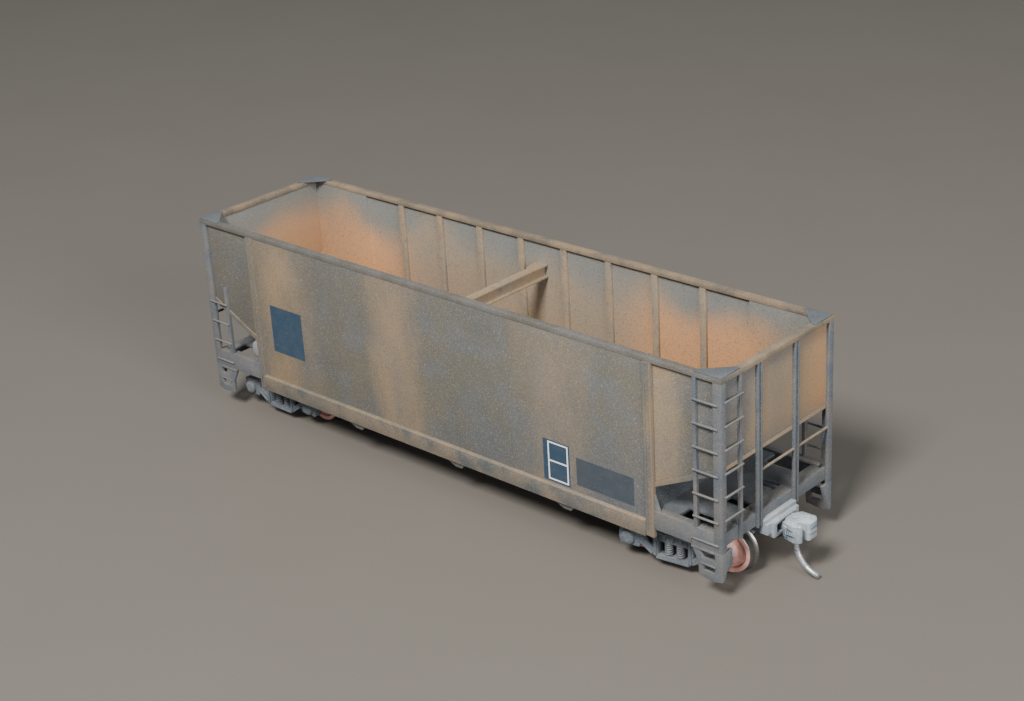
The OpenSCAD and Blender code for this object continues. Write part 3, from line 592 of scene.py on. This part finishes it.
# ---------------------------------------------------------------- fine pieces of the body
def printed_patches():
    """Blank patches and a ruled box on the right side: slabs standing 0.03 mm proud of the sheet."""
    proud, sunk, line_w = 0.03, 0.01, 0.32
    y1, y0 = -OUT_Y + sunk, -OUT_Y - proud

    def rect(x0, x1, z0, z1, y=y0):
        return block([x0, y, z0], [x1, y1, z1])

    make_piece("reporting_patch", [rect(-53.0, -42.4, 20.3, 31.8)], "car_body", blue_patch)
    make_piece("service_patch", [rect(39.1, 54.0, 14.8, 21.0)], "car_body", slate_patch)
    make_piece("data_patch", [rect(30.2, 37.3, 13.5, 22.9)], "car_body", blue_patch)
    y2, w = y0 - 0.02, line_w
    x0, x1, z0, zm, z1 = 31.5, 36.9, 13.9, 18.1, 22.6
    lines = [rect(x0, x1, z0, z0 + w, y2), rect(x0, x1, z1 - w, z1, y2), rect(x0, x1, zm, zm + w, y2),
             rect(x0, x0 + w, z0 + w, z1 - w, y2 - 0.001),
             rect(x1 - w, x1, z0 + w, z1 - w, y2 - 0.001)]
    make_piece("data_box_lines", lines, "car_body", white_line)


def slope_flanges():
    """The slope sheets' turned-down edges: strips along the slope outside each end section, broken
    at the ladder's stile. Their line is z = end sheet's foot + tan(slope) * (x - end sheet)."""
    tilt = np.tan(np.radians(SLOPE_DEG))
    near, far = END_HI[1] + 0.8, END_HI[1] + 1.15
    above, below = 0.15, 1.05
    spans = [[POST_HI[0], HALF_X - STILE_FROM], [HALF_X - STILE_TO, HALF_X - CORNER_FROM]]
    parts = []
    for y0, y1 in ((-far, -near), (near, far)):
        for x0, x1 in spans:
            z0, z1 = [END_LO[2] + tilt * (x - END_LO[0]) for x in (x0, x1)]
            outline = [[x0, z0 + above], [x1, z1 + above], [x1, z1 - below], [x0, z0 - below]]
            strip = slab(outline, y0, y1, 1)
            parts += [strip, moved(strip, at_end_b)]
    make_piece("slope_flanges", parts, "car_body", post_paint, bevel=0.05)


def post_strips():
    """Two raised strips down each bolster post, with a groove between them."""
    w, out = 0.45, 0.14
    parts = []
    for x in (BOLSTER_X - 0.95, BOLSTER_X + 0.95 - w):
        strip = block([x, POST_LO[1] - out, POST_LO[2] + 0.1], [x + w, POST_LO[1] + 0.02, RIM_Z - 0.05])
        parts += [strip, moved(strip, at_end_b)]
        strip = (strip[0] * [-1, 1, 1], strip[1])
        parts += [strip, moved(strip, at_end_b)]
    make_piece("post_strips", parts, "car_body", post_paint, bevel=0.05)


def step_details():
    """A thin bar over each hanging step and a small hook under the lowest side rung."""
    y0 = STEP_LO[1]
    parts = []
    bar = block([HALF_X - 7.4, y0 - 0.22, STEP_HI[2] - 0.55], [HALF_X - 1.9, y0 + 0.02, STEP_HI[2] - 0.2])
    lip = block([HALF_X - 5.4, y0 - 0.25, STEP_HI[2] - 3.55], [HALF_X - 1.5, y0 + 0.02, STEP_HI[2] - 3.2])
    hook = tube([[HALF_X - 6.9, y0 - 0.16, 12.9], [HALF_X - 7.3, y0 - 0.16, 12.8],
                 [HALF_X - 7.5, y0 - 0.16, 12.4], [HALF_X - 7.5, y0 - 0.14, 11.9]], 0.18, 8)
    for part in (bar, lip, hook):
        parts += [part, moved(part, at_end_b)]
        if part is not hook:
            other = (part[0] * [1, -1, 1], part[1])
            parts += [other, moved(other, at_end_b)]
    make_piece("step_details", parts, "car_body", ladder_paint, bevel=0.04)


def brake_details():
    """Straps round the reservoir, bolts on the valve, and pipes that join the three brake pieces."""
    centre_x, centre_z = (TANK_LO[0] + TANK_HI[0]) / 2, (TANK_LO[2] + TANK_HI[2]) / 2
    r = (TANK_HI[2] - TANK_LO[2]) / 2
    parts = []
    for y in (TANK_LO[1] + 2.6, TANK_HI[1] - 2.6):
        parts.append(lathe([[r + 0.02, -0.35], [r + 0.16, -0.35], [r + 0.16, 0.35], [r + 0.02, 0.35]],
                           [centre_x, y, centre_z], [0, 1, 0], 32))
    valve_x, valve_y = (VALVE_LO[0] + VALVE_HI[0]) / 2, (VALVE_LO[1] + VALVE_HI[1]) / 2
    for dx in (-0.9, 0.9):
        for dy in (-1.5, 1.5):
            parts.append(bolt([valve_x + dx, valve_y + dy, VALVE_HI[2] - 1.0], [0, 0, 1], 0.22, 0.2))
    t = np.linspace(0, 1, 20)[:, None]
    start = np.array([centre_x - 1.0, TANK_HI[1] - 0.3, centre_z + 0.6])
    end = np.array([valve_x + 0.2, VALVE_LO[1] + 0.2, VALVE_LO[2] + 1.3])
    sag = np.sin(np.pi * t) * np.array([[0.0, 0.0, 0.9]])
    parts.append(tube(start + (end - start) * t + sag, 0.28, 10))
    start = np.array([valve_x, VALVE_HI[1] - 0.2, VALVE_LO[2] + 1.3])
    end = np.array([(CYL_LO[0] + CYL_HI[0]) / 2, CYL_LO[1] + 0.3, (CYL_LO[2] + CYL_HI[2]) / 2 - 0.6])
    parts.append(tube(start + (end - start) * t - sag * 0.4, 0.28, 10))
    make_piece("brake_pipes", parts, "car_body", tank_paint)


def brake_chain_rod():
    """The upright rod from the hand brake's gear case down to the end sill."""
    lo, _ = box_mm("brake_wheel")
    _, sill_hi = box_mm("end_sill_b")
    x = -END_X - 0.5
    path = [[x, 0.9, lo[2] + 1.2], [x, 0.9, sill_hi[2] - 0.4]]
    parts = [tube(np.linspace(path[0], path[1], 6), 0.24, 10)]
    for z in (sill_hi[2] + 4, sill_hi[2] + 10):
        parts.append(block([x - 0.1, 0.5, z], [-END_X + 0.02 if z > 28 else x + 0.45, 1.3, z + 0.5]))
    make_piece("brake_rod", parts, "car_body", sill_paint)


# ---------------------------------------------------------------- couplers
def coupler_details(end):
    """The head's pin, its joint lines, the knuckle's own block and a small spring at its side."""
    place = (lambda p: p) if end == "a" else at_end_b
    top, bottom = COUPLER_HI[2], COUPLER_LO[2]
    x0 = COUPLER_HI[0] - 5.4
    body = f"coupler_{end}"
    gap = []
    for z in (bottom + 1.15, bottom + 2.35):
        cheek = [[x0 + 1.2, -3.10], [x0 + 3.3, -3.54], [x0 + 3.3, -3.3], [x0 + 1.2, -2.9]]
        gap.append(slab(cheek, z, z + 0.16, 2))
        gap.append(block([x0 + 5.3, -0.4, z], [x0 + 5.43, 1.6, z + 0.14]))
    make_piece(f"coupler_slits_{end}", [moved(p, place) for p in gap], body,
               dark_gap)
    parts = [bolt([x0 + 3.4, 1.9, top], [0, 0, 1], 0.55, 0.22),
             bolt([x0 + 2.4, -2.3, top], [0, 0, 1], 0.38, 0.2)]
    diamond = slab([[x0 + 0.7, 0], [x0 + 1.5, -0.8], [x0 + 2.3, 0], [x0 + 1.5, 0.8]],
                   top - 0.02, top + 0.2, 2)
    lug = slab([[x0 + 0.3, -2.0], [x0 + 0.8, -3.2], [x0 + 1.8, -3.6], [x0 + 1.8, -3.0],
                [x0 + 0.9, -1.6]], bottom + 0.8, bottom + 3.0, 2)
    parts += [diamond, lug]
    a = np.linspace(0, 2 * np.pi * 5, 60)
    coil = np.stack([x0 + 1.6 + a / a[-1] * 2.4, -3.52 + 0.22 * np.cos(a),
                     bottom + 1.75 + 0.22 * np.sin(a)], 1)
    parts.append(tube(coil, 0.08, 6))
    make_piece(f"coupler_details_{end}", [moved(p, place) for p in parts], body,
               coupler_paint, bevel=0.05)


# ---------------------------------------------------------------- trucks
def truck_springs(end):
    """Coil springs: point = (r cos a, r sin a, z0 + h a / 2 pi n), a wire of 0.2 mm carried along it."""
    lo, hi = box_mm("truck_springs_b")
    y = FRAME_OUT_Y - 0.98
    z0, z1 = lo[2] + 0.15, hi[2] - 0.15
    turns = 5.5
    a = np.linspace(0, 2 * np.pi * turns, 110)
    parts = []
    for x in (-1.35, 1.35):
        for side in (-1, 1):
            coil = np.stack([x + 0.72 * np.cos(a), side * y + 0.72 * np.sin(a),
                             z0 + (z1 - z0) * a / a[-1]], 1)
            parts.append(tube(coil, 0.2, 8))
            parts.append(lathe([[0.42, lo[2]], [0.42, hi[2]]], [x, side * y, 0], [0, 0, 1], 12))
            for z in (lo[2], hi[2] - 0.2):
                parts.append(lathe([[0.9, z], [0.9, z + 0.2]], [x, side * y, 0], [0, 0, 1], 20))
    piece = make_piece(f"coil_springs_{end}", [moved(p, lambda q: on_truck(q, end)) for p in parts],
                       f"truck_{end}", truck_paint)
    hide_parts(f"truck_springs_{end}")


def truck_details(end):
    """Teeth over the springs, ribs along the frame, bearing caps with bolts and the truss edge strips."""
    parts = []
    yo = FRAME_OUT_Y
    for side in (-1, 1):
        y0, y1 = sorted([side * (yo - 0.1), side * (yo + 0.28)])
        for x in (-1.9, 0.0, 1.9):
            tooth = [[x - 0.45, 7.95], [x + 0.45, 7.95], [x + 0.3, 6.9], [x - 0.3, 6.9]]
            parts.append(slab(tooth, y0, y1, 1))
        parts.append(block([-3.6, y0, 7.9], [3.6, y1, 8.25]))
        parts.append(block([-3.7, y0, 2.25], [3.7, y1, 2.75]))
        for s in (-1, 1):
            upper, lower = s * (HALF_BASE - 2.0), s * (HALF_BASE - 2.9)
            for outline in ([[s * 3.6, 7.9], [s * 4.1, 8.25], [s * 4.4, 2.9], [s * 3.75, 2.75]],
                            [[s * 5.5, 8.9], [upper, 7.55], [upper, 7.1], [s * 5.5, 8.4]],
                            [[s * 4.6, 3.3], [lower, 5.1], [lower, 4.7], [s * 4.8, 2.9]]):
                parts.append(slab(outline, y0, y1, 1))
            centre = [s * HALF_BASE, side * CAP_Y, AXLE_Z]
            parts.append(lathe([[1.35, -0.3], [1.35, 0.1], [1.1, 0.28], [0.45, 0.32], [0.1, 0.32]],
                               centre, [0, side, 0], 28))
            for k in range(3):
                angle = 2 * np.pi * k / 3 + 0.5
                spot = [centre[0] + 0.75 * np.cos(angle), side * (CAP_Y + 0.28),
                        AXLE_Z + 0.75 * np.sin(angle)]
                parts.append(bolt(spot, [0, side, 0], 0.2, 0.14))
            parts.append(block([s * HALF_BASE - 1.9, y0, 7.0], [s * HALF_BASE + 1.9, y1, 7.4]))
    make_piece(f"truck_ribs_{end}", [moved(p, lambda q: on_truck(q, end)) for p in parts],
               f"truck_{end}", truck_paint, bevel=0.05)


for name in nodes:
    if not name.startswith("truck_springs"):
        finish_node(name)
printed_patches()
slope_flanges()
post_strips()
step_details()
brake_details()
brake_chain_rod()
for end in ("a", "b"):
    coupler_details(end)
    truck_springs(end)
    truck_details(end)


# ---------------------------------------------------------------- floor, light and camera
LIT_SPOT = (0.0, 0.0, 0.02)


def studio():
    """A dull floor, one broad soft key from the front left, a fill and an even surrounding light."""
    mesh = bpy.data.meshes.new("floor")
    reach = 4.0
    corners = [(-reach, -reach, 0), (reach, -reach, 0), (reach, reach, 0), (-reach, reach, 0)]
    mesh.from_pydata(corners, [], [(0, 1, 2, 3)])
    floor = bpy.data.objects.new("floor", mesh)
    mesh.materials.append(floor_finish("grey brown table"))
    bpy.context.scene.collection.objects.link(floor)
    world = bpy.data.worlds.new("soft surround")
    bpy.context.scene.world = world
    world.use_nodes = True
    background = world.node_tree.nodes["Background"]
    background.inputs["Color"].default_value = (0.95, 0.97, 1.0, 1)
    background.inputs["Strength"].default_value = 0.32
    for name, where, size, power, colour in (
            ("key", (0.20, -0.60, 0.70), 0.22, 14.0, (1.0, 0.97, 0.92)),
            ("fill", (0.80, -0.20, 0.35), 0.40, 6.0, (1.0, 0.97, 0.93))):
        data = bpy.data.lights.new(name, "AREA")
        data.size = size
        data.energy = power
        data.color = colour
        light = bpy.data.objects.new(name, data)
        bpy.context.scene.collection.objects.link(light)
        aim = np.array(LIT_SPOT) - np.array(where)
        aim /= np.linalg.norm(aim)
        side = np.cross(aim, [0, 0, 1])
        side /= np.linalg.norm(side)
        up = np.cross(side, aim)
        light.matrix_world = Matrix([[side[0], up[0], -aim[0], where[0]], [side[1], up[1], -aim[1], where[1]],
                                     [side[2], up[2], -aim[2], where[2]], [0, 0, 0, 1]])


def camera():
    """The view: turned az about Z, raised el, then rolled; rows are right, up and backwards."""
    az, el, roll = np.radians([43.771, 23.873, -3.376])
    where = (0.264107, -0.269856, 0.196636)
    back = np.array([np.sin(az) * np.cos(el), -np.cos(az) * np.cos(el), np.sin(el)])
    right = np.cross(-back, [0, 0, 1])
    right /= np.linalg.norm(right)
    up = np.cross(right, -back)
    right, up = np.cos(roll) * right + np.sin(roll) * up, np.cos(roll) * up - np.sin(roll) * right
    data = bpy.data.cameras.new("camera")
    data.sensor_width = 36.0
    data.lens = 66.395
    data.shift_y = -0.00928
    data.clip_start = 0.01
    data.clip_end = 50.0
    view = bpy.data.objects.new("camera", data)
    view.matrix_world = Matrix([[right[k], up[k], back[k], where[k]] for k in range(3)] + [[0, 0, 0, 1]])
    bpy.context.scene.collection.objects.link(view)
    bpy.context.scene.camera = view


studio()
camera()
